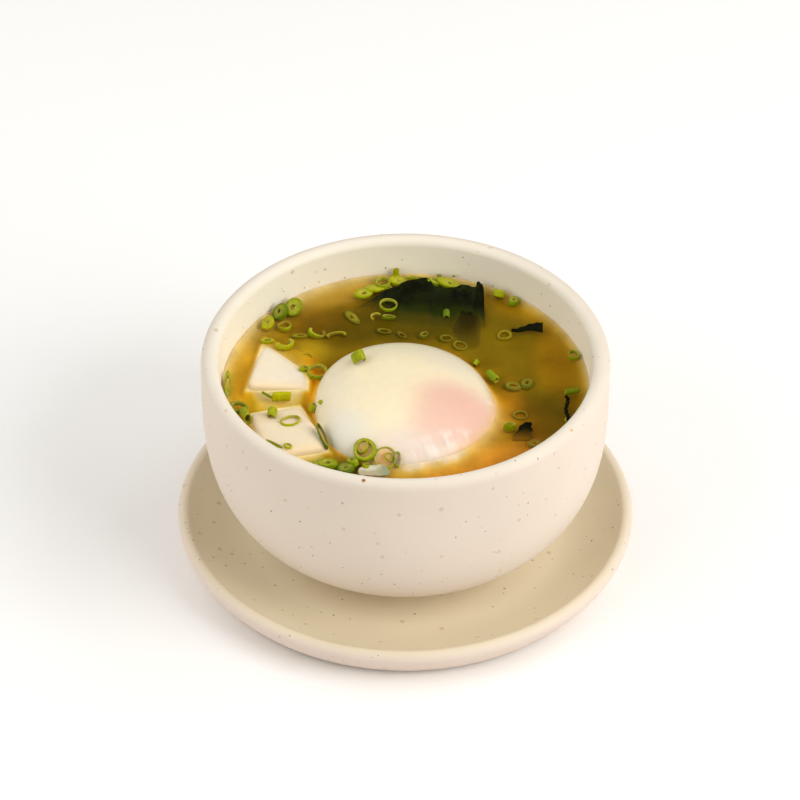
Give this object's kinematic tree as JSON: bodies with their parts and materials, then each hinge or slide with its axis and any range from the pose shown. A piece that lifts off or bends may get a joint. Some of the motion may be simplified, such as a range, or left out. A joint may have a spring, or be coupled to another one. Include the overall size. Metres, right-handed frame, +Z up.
{
  "type": "bowl of miso soup",
  "caption": "Filled stoneware soup bowl on a saucer: opaque broth with a poached egg, tofu blocks, seaweed and sliced scallion; rests on a flat foot ring.",
  "frame": {"origin": "centre of the saucer's foot ring, on the surface that it stands on", "axes": "+Z up along the bowl's axis, +X to the right and +Y to the back; the big seaweed frond is at the back and the tofu at the left"},
  "size_m": [0.1478, 0.1478, 0.0753],
  "materials": {
    "stoneware": "satin cream glaze with sparse small brown specks",
    "broth": "cloudy amber to olive-brown miso broth, wet surface",
    "egg_white": "smooth moist poached egg white, cream with a pink blush",
    "tofu": "smooth moist silken tofu",
    "wakame": "wet dark green seaweed",
    "scallion": "fresh green sliced scallion leaf, paler inside"
  },
  "bodies": {
    "root": {"saucer": "stoneware", "bowl": "stoneware", "broth": "broth", "egg": "egg_white", "egg_shred": "egg_white", "tofu_back": "tofu", "tofu_front": "tofu", "wakame_frond": "wakame", "wakame_curl": "wakame", "wakame_leaf": "wakame", "wakame_thread": "wakame"}
  },
  "joints": []
}
